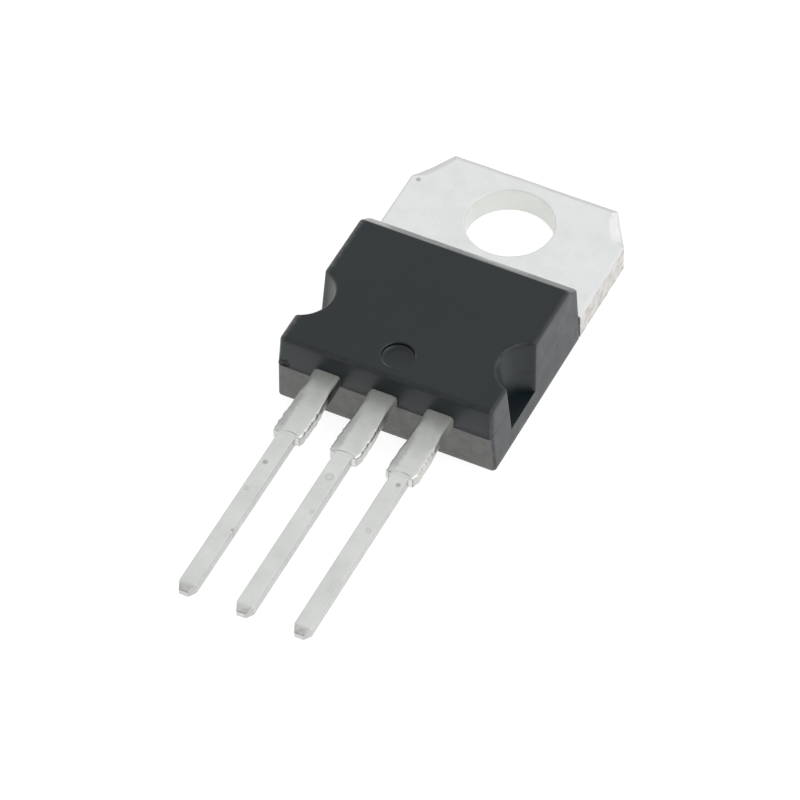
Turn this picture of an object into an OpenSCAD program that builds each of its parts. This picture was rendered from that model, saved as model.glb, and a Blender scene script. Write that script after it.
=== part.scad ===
// Power MOSFET in a three-lead tab package: a stamped drain frame that is heat tab, slab and centre
// lead in one piece, two outer leads, a silicon die soldered to the slab, three bond wires, and the
// epoxy moulding that holds them. Millimetres. The origin is the centre of the screw hole on the
// mounting face. +Y runs to the tab's free end, the leads run to -Y, +Z leaves the mounting face.

/* [Heat tab] */
// Width of the tab
tab_w = 9.9; // [9.6:0.1:10.6]
// Thickness of the tab and of the slab inside the moulding
tab_t = 1.2; // [1.1:0.05:1.4]
// Length of bare tab, from its free end to the moulding
tab_len = 6.25; // [5.9:0.05:6.8]
// Diameter of the screw hole
hole_d = 3.85; // [3.6:0.05:4.05]
// Distance from the tab's free end to the centre of the screw hole
hole_to_end = 2.65; // [2.6:0.05:3.1]
// Length that each cut corner takes from the free end
corner_x = 1.15; // [0.6:0.05:1.6]
// Length that each cut corner takes from the side
corner_y = 1.9; // [1:0.05:2.4]

/* [Slab under the moulding] */
// Height of the step along the slab's lower edge that the moulding grips
grip_h = 0.5; // [0.3:0.05:0.7]
// Depth of that step
grip_d = 0.4; // [0.3:0.05:0.6]
// Radius of the lock notch in each side of the slab
lock_r = 0.6; // [0.3:0.05:0.7]
// Distance from the moulding's rear face to the lock notches
lock_y = 1.1; // [0.9:0.1:1.6]
// Depth of the groove across the slab that keeps damp out
groove_d = 0.2; // [0.1:0.05:0.3]

/* [Moulding] */
// Length of the moulding
body_l = 8.45; // [8.3:0.05:9.3]
// Width of the moulding at the mounting face
body_w = 9.9; // [9.5:0.02:10.1]
// Height of the moulding above the mounting face
body_h = 3.56; // [3.5:0.02:4.6]
// Height of the parting line, which is also the underside of the leads
parting_z = 2.03; // [1.95:0.01:2.2]
// Lean of each side, from the mounting face to the top
side_lean = 0.17; // [0.05:0.01:0.3]
// Lean of the front, from the parting line to the top
front_lean = 0.1; // [0.05:0.01:0.3]
// Lean of the front below the parting line
foot_lean = 0.14; // [0.02:0.01:0.2]
// Lean of the rear face
rear_lean = 0.1; // [0.05:0.01:0.3]
// Length of the bevel along the top's rear edge
bevel_l = 0.8; // [0.2:0.05:0.9]
// Drop of that bevel
bevel_h = 0.7; // [0.1:0.02:0.8]
// Radius of the top edges
edge_r = 0.18; // [0.1:0.01:0.25]

/* [Marks in the moulding] */
// Radius of the half-round notch in each side, at the top
notch_r = 1.45; // [1.2:0.05:1.6]
// Reach of each notch into the side, at the top
notch_reach = 1.15; // [0.6:0.05:1.25]
// Amount by which each notch's radius shrinks from the top down to its floor
notch_taper = 0.3; // [0.1:0.05:0.4]
// Height of the notches' floors above the mounting face
notch_floor = 0.95; // [0.8:0.05:1.6]
// Distance from the front face to the middle of the notches
notch_y = 2.95; // [2.6:0.05:4.2]
// Thickness of moulding left between a notch's wall and the slab's side
notch_skin = 0.12; // [0.1:0.01:0.3]
// Radius of the ejector pin's mark in the top
eject_r = 0.68; // [0.5:0.02:0.9]
// Depth of that mark
eject_d = 0.24; // [0.1:0.02:0.3]
// Distance from the front face to the middle of that mark
eject_y = 1.34; // [1.2:0.02:2.5]
// Width of the scar where the moulding's gate broke off
scar_w = 0.8; // [0.4:0.05:1]
// Height of that scar
scar_h = 0.55; // [0.3:0.05:0.8]
// Depth of that scar
scar_d = 0.14; // [0.05:0.01:0.2]

/* [Leads] */
// Distance between neighbouring leads
pitch = 2.54; // [2.5:0.02:2.6]
// Thickness of the leads
lead_t = 0.5; // [0.46:0.02:0.6]
// Width of a lead where it leaves the moulding
root_w = 1.2; // [1.1:0.02:1.26]
// Length of that wide part, as far as the cut dam bar
root_len = 3.7; // [3:0.1:4]
// Width across the stubs that the dam bar leaves
stub_w = 1.32; // [1.28:0.02:1.46]
// Length of those stubs
stub_len = 1.1; // [0.6:0.1:1.4]
// Width of the pin
pin_w = 0.76; // [0.6:0.02:0.84]
// Length of a lead outside the moulding
lead_len = 12.7; // [12.2:0.1:14]
// Length of the tapered tip
tip_len = 0.45; // [0.3:0.05:0.8]
// Share of the pin's width and thickness that is left at the end
tip_share = 0.5; // [0.3:0.05:0.7]

/* [Posts inside the moulding] */
// Width of an outer lead's bonding post
post_w = 2.5; // [2:0.1:2.6]
// Length of a bonding post
post_l = 1.45; // [1.2:0.05:1.6]
// Distance from the front face to the posts
post_y = 0.6; // [0.5:0.05:0.7]
// Clear gap between a post and the centre lead
post_gap = 0.6; // [0.5:0.05:0.8]
// Clear gap between the posts and the slab's front end, seen from above
slab_gap = 0.35; // [0.25:0.05:0.5]
// Diameter of the lock hole in each post
post_hole_d = 0.6; // [0.4:0.05:0.7]
// Run of the ramp from the slab up to the centre lead
ramp_run = 1.3; // [1.2:0.05:1.4]

/* [Die] */
// Width of the silicon die
die_w = 4.4; // [3.6:0.1:4.8]
// Length of the silicon die
die_l = 3.4; // [3:0.1:3.6]
// Thickness of the silicon die
die_t = 0.28; // [0.2:0.02:0.35]
// Thickness of the solder under the die
solder_t = 0.06; // [0.05:0.01:0.1]
// Width of the solder fillet that shows round the die
solder_rim = 0.15; // [0.1:0.05:0.25]
// Distance from the slab's front end to the die
die_back = 0.8; // [0.6:0.1:1]

/* [Bond wires] */
// Diameter of the gate wire
gate_wire_d = 0.2; // [0.16:0.02:0.26]
// Diameter of each source wire
source_wire_d = 0.38; // [0.3:0.02:0.42]
// Height of a wire's arch above the straight line between its two feet
wire_arch = 0.85; // [0.6:0.05:0.95]
// Length of a wire's flattened foot
foot_l = 0.7; // [0.5:0.05:0.8]
// Distance between the two source wires on their post
wire_gap = 1.05; // [0.8:0.05:1.1]

/* [Hidden] */
$fn = 96;
// How far a cutting shape runs past the face that it cuts
past = 1;
// Places along Y
end_y = hole_to_end;
rear_y = end_y - tab_len;
front_y = rear_y - body_l;
stub_y = front_y - root_len;
tip_y = front_y - lead_len;
post_front_y = front_y + post_y;
slab_y = post_front_y + post_l + slab_gap;
// Half the slab's width, which leaves a skin of moulding beside each notch
slab_half = body_w / 2 - notch_reach + notch_taper - notch_skin;
// Heights
lead_top = parting_z + lead_t;
solder_top = tab_t + solder_t;
die_top = solder_top + die_t;
// The slope of the front and of the rear face, as lean for each millimetre of height
front_slope = front_lean / (body_h - parting_z);
rear_slope = rear_lean / (body_h - tab_t);
// The middle of the die, and of the wires' feet on it and on the posts
die_y = slab_y + die_back + die_l / 2;
post_mid_y = post_front_y + post_l / 2;
post_in_x = root_w / 2 + post_gap;
post_out_x = post_in_x + post_w;
post_mid_x = (post_in_x + post_out_x) / 2;
gate_foot = [-die_w * 0.36, die_y - die_l * 0.28];
source_foot_inner = [die_w * 0.08, die_y + die_l * 0.1];
source_foot_outer = [die_w * 0.32, die_y + die_l * 0.1];
post_hole_x = post_out_x - post_hole_d;

// Turns a drawing in Y and Z into a bar across X, centred on X = 0
module across_x(width) {
    rotate([90, 0, 90])
        linear_extrude(height = width, center = true)
            children();
}

// Turns a drawing in X and Z into a bar along Y, from y0 to y1
module along_y(y0, y1) {
    translate([0, y1, 0])
        rotate([90, 0, 0])
            linear_extrude(height = y1 - y0)
                children();
}

// Both sides of the part: the children and their mirror image
module both_sides() {
    children();
    mirror([1, 0, 0])
        children();
}

// The sharp tip outside a round corner at p, whose two edges leave along a and b
module sharp_tip(p, a, b, r) {
    ua = a / norm(a);
    ub = b / norm(b);
    half = acos(ua * ub) / 2;
    mid = (ua + ub) / norm(ua + ub);
    centre = p + mid * r / sin(half);
    reach = r / tan(half);
    difference() {
        polygon([p - mid * r, p + ua * reach, centre, p + ub * reach]);
        translate(centre)
            circle(r);
    }
}

// ---- moulding ----

// Half of the moulding's cross-section, whose side leans straight from the mounting face to the top
module side_profile() {
    corner = [body_w / 2 - side_lean, body_h];
    difference() {
        polygon([[-past, 0], [body_w / 2, 0], corner, [-past, body_h]]);
        sharp_tip(corner, [-1, 0], [side_lean, -body_h], edge_r);
    }
}

// The moulding seen from its side: front leaning both ways from the parting line, bevelled rear edge
module length_profile() {
    front_top = [front_y + front_lean, body_h];
    bevel_low = [rear_y - rear_slope * (body_h - bevel_h - tab_t), body_h - bevel_h];
    bevel_top = [bevel_low.x - bevel_l, body_h];
    difference() {
        polygon([
            [front_y + foot_lean, 0],
            [rear_y, 0],
            [rear_y, tab_t],
            bevel_low,
            bevel_top,
            front_top,
            [front_y, parting_z]
        ]);
        sharp_tip(front_top, [1, 0], [-front_slope, -1], edge_r);
        sharp_tip(bevel_top, [-1, 0], bevel_low - bevel_top, edge_r);
    }
}

module mould_block() {
    intersection() {
        both_sides()
            along_y(front_y - past, rear_y + past)
                side_profile();
        across_x(body_w + 2 * past)
            length_profile();
    }
}

// Each notch is a cone that narrows towards its floor, as the mould needs to let go
module side_notches() {
    rise = body_h - notch_floor;
    top_r = notch_r + notch_taper * past / rise;
    both_sides()
        translate([body_w / 2 - notch_reach + notch_r, front_y + notch_y, notch_floor])
            cylinder(r1 = notch_r - notch_taper, r2 = top_r, h = rise + past);
}

module ejector_mark() {
    translate([0, front_y + eject_y, body_h - eject_d])
        cylinder(r = eject_r, h = eject_d + past);
}

// The scar lies above the parting line, at the front face's gate-side corner
module gate_scar() {
    left = -body_w / 2 - past;
    along_y(front_y - past, front_y + scar_d)
        polygon([
            [left, parting_z],
            [left, parting_z + scar_h],
            [-body_w / 2 + scar_w / 2, parting_z + scar_h],
            [-body_w / 2 + scar_w, parting_z]
        ]);
}

module mould_body() {
    color([0.17, 0.18, 0.19])
        difference() {
            mould_block();
            side_notches();
            ejector_mark();
            gate_scar();
            drain_frame();
            gate_lead();
            source_lead();
            silicon_die();
            die_solder();
            gate_wire();
            source_wire_inner();
            source_wire_outer();
        }
}

// ---- leads ----

// A lead in plan, centred on X = 0: the wide root, the dam bar's stubs, the pin and its tapered tip
module lead_plan(inner_y) {
    translate([-root_w / 2, stub_y])
        square([root_w, inner_y - stub_y]);
    translate([-stub_w / 2, stub_y])
        square([stub_w, stub_len]);
    polygon([
        [-pin_w / 2, stub_y],
        [-pin_w / 2, tip_y + tip_len],
        [-pin_w / 2 * tip_share, tip_y],
        [pin_w / 2 * tip_share, tip_y],
        [pin_w / 2, tip_y + tip_len],
        [pin_w / 2, stub_y]
    ]);
}

// A lead from its side, from a point inside the moulding to the tip tapered above and below
module lead_side(inner_y) {
    lost = lead_t * (1 - tip_share) / 2;
    polygon([
        [inner_y, parting_z],
        [inner_y, lead_top],
        [tip_y + tip_len, lead_top],
        [tip_y, lead_top - lost],
        [tip_y, parting_z + lost],
        [tip_y + tip_len, parting_z]
    ]);
}

module lead_bar(inner_y) {
    intersection() {
        translate([0, 0, parting_z - past])
            linear_extrude(height = lead_t + 2 * past)
                lead_plan(inner_y);
        across_x(stub_w + 2 * past)
            lead_side(inner_y);
    }
}

// An outer lead of the +X side, with its bonding post and the post's lock hole
module outer_lead() {
    difference() {
        union() {
            translate([pitch, 0, 0])
                lead_bar(post_front_y + post_l / 2);
            translate([post_in_x, post_front_y, parting_z])
                cube([post_w, post_l, lead_t]);
        }
        translate([post_hole_x, post_mid_y, parting_z - past])
            cylinder(d = post_hole_d, h = lead_t + 2 * past);
    }
}

module source_lead() {
    color([0.8, 0.8, 0.79])
        outer_lead();
}

module gate_lead() {
    color([0.8, 0.8, 0.79])
        mirror([1, 0, 0])
            outer_lead();
}

// ---- drain frame ----

module tab_plate() {
    half = tab_w / 2;
    linear_extrude(height = tab_t)
        polygon([
            [-half, rear_y],
            [-half, end_y - corner_y],
            [-half + corner_x, end_y],
            [half - corner_x, end_y],
            [half, end_y - corner_y],
            [half, rear_y]
        ]);
}

// The slab under the die, with a step round its lower edge, a lock notch in each side and a groove
module slab() {
    difference() {
        translate([-slab_half, slab_y, 0])
            cube([2 * slab_half, rear_y - slab_y + past, tab_t]);
        both_sides() {
            translate([slab_half - grip_d, slab_y - past, -past])
                cube([grip_d + past, rear_y - slab_y + past, grip_h + past]);
            translate([slab_half, rear_y - lock_y, -past])
                cylinder(r = lock_r, h = tab_t + 2 * past);
        }
        translate([-slab_half - past, slab_y - past, -past])
            cube([2 * (slab_half + past), grip_d + past, grip_h + past]);
        translate([0, rear_y - lock_y, tab_t])
            across_x(2 * (slab_half + past))
                polygon([[-groove_d, past], [-groove_d, 0], [0, -groove_d], [groove_d, 0], [groove_d, past]]);
    }
}

// The ramp that lifts the centre lead from the slab's face to the lead plane, of one thickness
module ramp() {
    bend = atan((lead_top - tab_t) / ramp_run);
    shift = lead_t * tan(bend / 2);
    start_y = slab_y;
    stop_y = slab_y - ramp_run;
    across_x(root_w)
        polygon([
            [start_y + lead_t, tab_t],
            [start_y, tab_t],
            [stop_y, lead_top],
            [stop_y - lead_t, lead_top],
            [stop_y - lead_t, parting_z],
            [stop_y - shift, parting_z],
            [start_y - shift, tab_t - lead_t],
            [start_y + lead_t, tab_t - lead_t]
        ]);
}

module drain_frame() {
    color([0.86, 0.86, 0.85])
        difference() {
            union() {
                tab_plate();
                slab();
                ramp();
                lead_bar(slab_y - ramp_run - lead_t / 2);
            }
            translate([0, 0, -past])
                cylinder(d = hole_d, h = tab_t + 2 * past);
        }
}

// ---- die ----

// A plate centred over the die's place, standing on height z
module die_plate(width, length, z, thickness) {
    translate([-width / 2, die_y - length / 2, z])
        cube([width, length, thickness]);
}

module die_solder() {
    color([0.6, 0.61, 0.63])
        die_plate(die_w + 2 * solder_rim, die_l + 2 * solder_rim, tab_t, solder_t);
}

module silicon_die() {
    color([0.3, 0.32, 0.38])
        die_plate(die_w, die_l, solder_top, die_t);
}

// ---- bond wires ----

// A wire's flattened foot, standing on height z, in the wire's own direction
module wire_foot(z, d) {
    translate([-foot_l / 2, -0.625 * d, z])
        cube([foot_l, 1.25 * d, 0.6 * d]);
}

// An arched wire of diameter d, from a foot on the die at p to a foot on a post at q
module bond_wire(p, q, d) {
    lift = 0.42 * d;
    span = norm(q - p);
    climb = lead_top - die_top;
    chord = norm([span, climb]);
    tilt = atan(climb / span);
    half = 2 * atan(2 * wire_arch / chord);
    arch_r = chord / 2 / sin(half);
    translate([p.x, p.y, 0])
        rotate([0, 0, atan2(q.y - p.y, q.x - p.x)]) {
            wire_foot(die_top, d);
            translate([span, 0, 0])
                wire_foot(lead_top, d);
            translate([span / 2, 0, die_top + lift + climb / 2])
                rotate([0, -tilt, 0])
                    translate([0, 0, -arch_r * cos(half)])
                        rotate([90, 0, 0])
                            rotate([0, 0, 90 - half])
                                rotate_extrude(angle = 2 * half)
                                    translate([arch_r, 0])
                                        circle(d = d);
        }
}

module gate_wire() {
    color([0.85, 0.86, 0.88])
        bond_wire(gate_foot, [-post_mid_x, post_mid_y], gate_wire_d);
}

module source_wire_inner() {
    color([0.85, 0.86, 0.88])
        bond_wire(source_foot_inner, [post_mid_x - wire_gap / 2, post_mid_y], source_wire_d);
}

module source_wire_outer() {
    color([0.85, 0.86, 0.88])
        bond_wire(source_foot_outer, [post_mid_x + wire_gap / 2, post_mid_y], source_wire_d);
}

mould_body();
drain_frame();
gate_lead();
source_lead();
silicon_die();
die_solder();
gate_wire();
source_wire_inner();
source_wire_outer();
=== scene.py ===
"""The looks of a power MOSFET in a three-lead tab package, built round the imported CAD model."""

import math

import bmesh
import bpy
from mathutils import Matrix, Vector, noise


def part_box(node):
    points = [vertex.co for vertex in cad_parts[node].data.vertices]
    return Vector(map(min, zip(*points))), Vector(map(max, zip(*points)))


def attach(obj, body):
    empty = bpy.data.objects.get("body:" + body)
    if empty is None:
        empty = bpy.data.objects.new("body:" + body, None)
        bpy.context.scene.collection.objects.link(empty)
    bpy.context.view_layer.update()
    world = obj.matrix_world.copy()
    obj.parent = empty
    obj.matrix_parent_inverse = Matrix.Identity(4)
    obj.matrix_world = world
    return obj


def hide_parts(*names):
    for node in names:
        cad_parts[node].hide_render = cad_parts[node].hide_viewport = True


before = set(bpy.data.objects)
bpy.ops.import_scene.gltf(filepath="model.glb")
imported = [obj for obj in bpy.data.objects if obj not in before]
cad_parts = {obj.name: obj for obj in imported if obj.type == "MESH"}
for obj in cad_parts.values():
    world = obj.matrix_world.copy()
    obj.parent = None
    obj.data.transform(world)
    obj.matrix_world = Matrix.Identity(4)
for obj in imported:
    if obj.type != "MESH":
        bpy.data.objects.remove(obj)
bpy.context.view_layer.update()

# Shapes are worked out in millimetres and stored in metres
MM = 0.001

# ---- sizes that the CAD nodes give, in millimetres ----


def node_box(name):
    low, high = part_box(name)
    return low / MM, high / MM


mould_low, mould_high = node_box("mould_body")
drain_low, drain_high = node_box("drain_frame")

TAB_HALF = drain_high.x
END_Y = drain_high.y
TIP_Y = drain_low.y
BODY_H = mould_high.z
FRONT_Y = mould_low.y
REAR_Y = mould_high.y

# ---- sizes that a box doesn't give, in millimetres ----

# Tab
TAB_T = 1.2
CORNER_X = 1.15
CORNER_Y = 1.9
HOLE_R = 1.925
# The slab's bare underside, inside the step that the moulding grips
SLAB_HALF = 3.58
SLAB_FRONT = -9.25
GRIP_H = 0.5
# Moulding
BODY_HALF = 4.95
PARTING_Z = 2.03
SIDE_LEAN = 0.17
FRONT_LEAN = 0.1
FOOT_LEAN = 0.14
REAR_LEAN = 0.1
BEVEL_L = 0.8
BEVEL_H = 0.7
EDGE_R = 0.18
# Marks in the moulding
NOTCH_R = 1.45
NOTCH_REACH = 1.15
NOTCH_Y = 2.95
NOTCH_TAPER = 0.3
NOTCH_FLOOR = 0.95
EJECT_R = 0.68
EJECT_D = 0.24
EJECT_Y = 1.34
SCAR_W = 0.8
SCAR_H = 0.55
SCAR_D = 0.14
# Leads. Their tips are blunter here than in the CAD, as the photo shows them
PITCH = 2.54
LEAD_T = 0.5
ROOT_HALF = 0.6
ROOT_LEN = 3.7
PIN_HALF = 0.38
TIP_LEN = 0.38
TIP_SHARE = 0.58

EJECT_MIDDLE_Y = FRONT_Y + EJECT_Y
STUB_Y = FRONT_Y - ROOT_LEN
LEAD_TOP = PARTING_Z + LEAD_T

# Bends beyond this many degrees are shaded as sharp edges
SHARP_ANGLE = 40.0
TAB_SHARP_ANGLE = 50.0
LEAD_SHARP_ANGLE = 38.0


# ---- mesh helpers ----


def wobble(point, size, depth, seed=0.0):
    """A smooth random number between -depth and depth, whose bumps are about size across."""
    return depth * noise.noise(Vector(point) / size + Vector((seed, 1.7 * seed, -seed)))


def smooth_step(a, b, x):
    t = max(0.0, min(1.0, (x - a) / (b - a)))
    return t * t * (3 - 2 * t)


ARC_STEPS = 6
OUTLINE_SPACING = 0.25


def rounded_outline(corners, inset):
    """The closed outline of a polygon with round corners, moved inwards by inset.

    Each corner is (x, y, radius). The count of points doesn't change with inset."""
    sides = []
    for i, corner in enumerate(corners):
        a = Vector(corner[:2])
        b = Vector(corners[(i + 1) % len(corners)][:2])
        along = (b - a).normalized()
        inward = Vector((-along.y, along.x))
        sides.append((a + inward * inset, along, (b - a).length))
    arcs = []
    for i, (_, _, corner_r) in enumerate(corners):
        p0, d0, _ = sides[i - 1]
        p1, d1, _ = sides[i]
        cross = d0.x * d1.y - d0.y * d1.x
        t = ((p1 - p0).x * d1.y - (p1 - p0).y * d1.x) / cross
        tip = p0 + d0 * t
        turn = math.atan2(cross, d0.dot(d1))
        hand = 1 if turn > 0 else -1
        radius = max(corner_r - hand * inset, 0.005)
        reach = radius * math.tan(abs(turn) / 2)
        side = Vector((-d0.y, d0.x)) * hand
        centre = tip - d0 * reach + side * radius
        arc = []
        for k in range(ARC_STEPS + 1):
            arc.append(centre + Matrix.Rotation(turn * k / ARC_STEPS, 2) @ (-side * radius))
        arcs.append(arc)
    points = []
    for i, arc in enumerate(arcs):
        points.extend(arc)
        start, stop = arc[-1], arcs[(i + 1) % len(arcs)][0]
        steps = max(1, round(sides[i][2] / OUTLINE_SPACING))
        for k in range(1, steps):
            points.append(start.lerp(stop, k / steps))
    return points


def loft(bm, rings):
    """Joins closed rings of points, which all have the same count. Returns the rings' vertices."""
    rows = [[bm.verts.new(p) for p in ring] for ring in rings]
    count = len(rows[0])
    for low, high in zip(rows, rows[1:]):
        for i in range(count):
            j = (i + 1) % count
            bm.faces.new((low[i], low[j], high[j], high[i]))
    return rows


def fill(bm, *loops):
    """Fills the flat face between closed loops of vertices."""
    edges = []
    for loop in loops:
        for pair in zip(loop, loop[1:] + loop[:1]):
            edges.append(bm.edges.get(pair) or bm.edges.new(pair))
    bmesh.ops.triangle_fill(bm, edges=edges, use_beauty=True, use_dissolve=False)


def finish_mesh(mesh, sharp):
    mesh.polygons.foreach_set("use_smooth", [True] * len(mesh.polygons))
    mesh.set_sharp_from_angle(angle=math.radians(sharp))


def new_object(name, bm, sharp=SHARP_ANGLE):
    """Stores a bmesh that was made in millimetres as an object in metres."""
    bmesh.ops.recalc_face_normals(bm, faces=bm.faces)
    bmesh.ops.scale(bm, vec=(MM, MM, MM), verts=bm.verts)
    mesh = bpy.data.meshes.new(name)
    bm.to_mesh(mesh)
    bm.free()
    finish_mesh(mesh, sharp)
    obj = bpy.data.objects.new(name, mesh)
    bpy.context.scene.collection.objects.link(obj)
    return obj


def carve(obj, cutters):
    """Takes the cutters out of obj and deletes them."""
    for cutter in cutters:
        modifier = obj.modifiers.new("carve", "BOOLEAN")
        modifier.operation = "DIFFERENCE"
        modifier.solver = "EXACT"
        modifier.object = cutter
    graph = bpy.context.evaluated_depsgraph_get()
    mesh = bpy.data.meshes.new_from_object(obj.evaluated_get(graph))
    mesh.name = obj.name
    obj.modifiers.clear()
    obj.data = mesh
    finish_mesh(mesh, SHARP_ANGLE)
    for cutter in cutters:
        data = cutter.data
        bpy.data.objects.remove(cutter)
        bpy.data.meshes.remove(data)


def even_shading(obj):
    """Keeps large faces flat beside their round edges."""
    modifier = obj.modifiers.new("even_shading", "WEIGHTED_NORMAL")
    modifier.keep_sharp = True
    modifier.weight = 80


def circle(radius, z, steps, middle=(0.0, 0.0)):
    ring = []
    for k in range(steps):
        a = 2 * math.pi * k / steps
        ring.append(Vector((middle[0] + radius * math.cos(a), middle[1] + radius * math.sin(a), z)))
    return ring


# ---- the moulding ----

# Radius of the upright corners, and of the lips where a notch meets the side
CORNER_R = 0.2
LIP_R = 0.13
# The least radius that an inset leaves
LEAST_R = 0.02
# Shares of an edge's inset that the rear face and the notches take, whose edges are sharper
REAR_INSET = 0.25
NOTCH_INSET = 0.7
# How far the flash stands out along the parting line, and its profile as (height, share of that)
FLASH = 0.022
FLASH_PROFILE = ((-0.03, 0.0), (-0.012, 0.9), (0.01, 1.0), (0.03, 0.0))
# Height where the round edge round the underside ends
FOOT_Z = 0.05
# Radius of the round rim of the ejector pin's mark
RIM_R = 0.09
# How far the cutter of the gate scar starts beside the moulding
SCAR_PAST = 0.3
# Steps along half a section: front, corner, side, lip, notch, the side's rear part, rear
FRONT_STEPS = 36
CORNER_STEPS = 6
SIDE_STEPS = 10
LIP_STEPS = 5
NOTCH_STEPS = 24
SIDE_REAR_STEPS = 16
REAR_STEPS = 24
NOTCH_C = Vector((BODY_HALF - NOTCH_REACH + NOTCH_R, FRONT_Y + NOTCH_Y))


def line_points(a, b, count):
    """Points from a towards b, without b."""
    return [a.lerp(b, k / count) for k in range(count)]


def heading(angle):
    return Vector((math.cos(angle), math.sin(angle)))


def mould_half(width, front, rear, inset, notch_r, notch_inset, notch):
    """The right half of the moulding's section, from the middle of the front to that of the rear.

    Without the notch, its points lie straight along the side, so that their count is the same."""
    w = width - inset
    f = front + inset
    r = rear - inset
    c = max(CORNER_R - inset, LEAST_R)
    lip = max(LIP_R - notch_inset, LEAST_R)
    arc_r = notch_r + notch_inset
    dx = w - lip - NOTCH_C.x
    dy = math.sqrt((arc_r + lip) ** 2 - dx ** 2)
    low = Vector((w - lip, NOTCH_C.y - dy))
    high = Vector((w - lip, NOTCH_C.y + dy))
    points = line_points(Vector((0, f)), Vector((w - c, f)), FRONT_STEPS)
    for k in range(CORNER_STEPS + 1):
        a = math.radians(-90 + 90 * k / CORNER_STEPS)
        points.append(Vector((w - c + c * math.cos(a), f + c + c * math.sin(a))))
    points += line_points(Vector((w, f + c)), Vector((w, low.y)), SIDE_STEPS)[1:]
    before_notch = len(points)
    turn = math.atan2(NOTCH_C.y - low.y, NOTCH_C.x - low.x)
    for k in range(LIP_STEPS + 1):
        points.append(low + heading(turn * k / LIP_STEPS) * lip)
    begin = math.atan2(low.y - NOTCH_C.y, low.x - NOTCH_C.x) % (2 * math.pi)
    end = math.atan2(high.y - NOTCH_C.y, high.x - NOTCH_C.x) % (2 * math.pi)
    for k in range(1, NOTCH_STEPS):
        points.append(NOTCH_C + heading(begin + (end - begin) * k / NOTCH_STEPS) * arc_r)
    for k in range(LIP_STEPS + 1):
        points.append(high + heading(-turn * (1 - k / LIP_STEPS)) * lip)
    if not notch:
        for p in points[before_notch:]:
            p.x = w
    points += line_points(Vector((w, high.y)), Vector((w, r - c)), SIDE_REAR_STEPS)[1:]
    for k in range(CORNER_STEPS + 1):
        a = math.radians(90 * k / CORNER_STEPS)
        points.append(Vector((w - c + c * math.cos(a), r - c + c * math.sin(a))))
    points += line_points(Vector((w - c, r)), Vector((0, r)), REAR_STEPS)[1:]
    points.append(Vector((0, r)))
    return points


def mould_ring(z, notch=True, inset=0.0, flash=0.0):
    """The moulding's section at height z, moved inwards by inset and outwards by flash."""
    width = BODY_HALF - SIDE_LEAN * z / BODY_H
    rear = REAR_Y - REAR_LEAN * max(0.0, z - TAB_T) / (BODY_H - TAB_T)
    drop = z - (BODY_H - BEVEL_H)
    if drop > 0:
        rear -= BEVEL_L * drop / BEVEL_H
    rear += (1 - REAR_INSET) * inset
    if z < PARTING_Z:
        front = FRONT_Y + FOOT_LEAN * (1 - z / PARTING_Z)
    else:
        front = FRONT_Y + FRONT_LEAN * (z - PARTING_Z) / (BODY_H - PARTING_Z)
    notch_r = NOTCH_R - NOTCH_TAPER * (BODY_H - max(z, NOTCH_FLOOR)) / (BODY_H - NOTCH_FLOOR)
    half = mould_half(width, front, rear, inset - flash, notch_r, NOTCH_INSET * inset, notch)
    ring = [Vector((p.x, p.y, z)) for p in half[:-1]]
    ring += [Vector((-p.x, p.y, z)) for p in reversed(half[1:])]
    return ring


def flash_rings():
    """Rings across the parting line, with ragged flash along the front and little behind it."""
    rings = []
    for dz, share in FLASH_PROFILE:
        plain = mould_ring(PARTING_Z + dz)
        proud = mould_ring(PARTING_Z + dz, flash=FLASH)
        ring = []
        for p, q in zip(plain, proud):
            amount = share * (0.55 + wobble((q.x, q.y, 0), 0.5, 0.6, 3))
            amount *= 0.15 + 0.85 * smooth_step(FRONT_Y + 0.7, FRONT_Y + 0.1, q.y)
            ring.append(p.lerp(q, max(0.0, min(1.0, amount))))
        rings.append(ring)
    return rings


def mould_block():
    rings = [mould_ring(0.0, False, 0.25), mould_ring(0.0, False, 0.05)]
    rings += [mould_ring(0.015, False, 0.015), mould_ring(FOOT_Z, False)]
    for k in range(1, 4):
        rings.append(mould_ring(FOOT_Z + (NOTCH_FLOOR - FOOT_Z) * k / 4, False))
    rings += [mould_ring(NOTCH_FLOOR, False), mould_ring(NOTCH_FLOOR)]
    for z in (NOTCH_FLOOR + 0.3, NOTCH_FLOOR + 0.6, PARTING_Z - 0.25, PARTING_Z - 0.05):
        rings.append(mould_ring(z))
    rings += flash_rings()
    top = BODY_H - EDGE_R
    for k in range(1, 7):
        rings.append(mould_ring(PARTING_Z + 0.05 + (top - PARTING_Z - 0.05) * k / 7))
    for k in range(7):
        a = math.radians(15 * k)
        rings.append(mould_ring(top + EDGE_R * math.sin(a), True, EDGE_R * (1 - math.cos(a))))
    rings.append(mould_ring(BODY_H, True, EDGE_R + 0.07))
    bm = bmesh.new()
    rows = loft(bm, rings)
    bm.faces.new(rows[0])
    bm.faces.new(rows[-1])
    return new_object("moulding", bm)


def slab_room():
    """A block in place of the slab's bare underside."""
    bm = bmesh.new()
    bmesh.ops.create_cube(bm, size=1.0)
    for v in bm.verts:
        v.co.x *= 2 * SLAB_HALF
        v.co.y = SLAB_FRONT if v.co.y < 0 else REAR_Y + 0.5
        v.co.z = -0.5 if v.co.z < 0 else GRIP_H
    return new_object("slab_room", bm)


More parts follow.
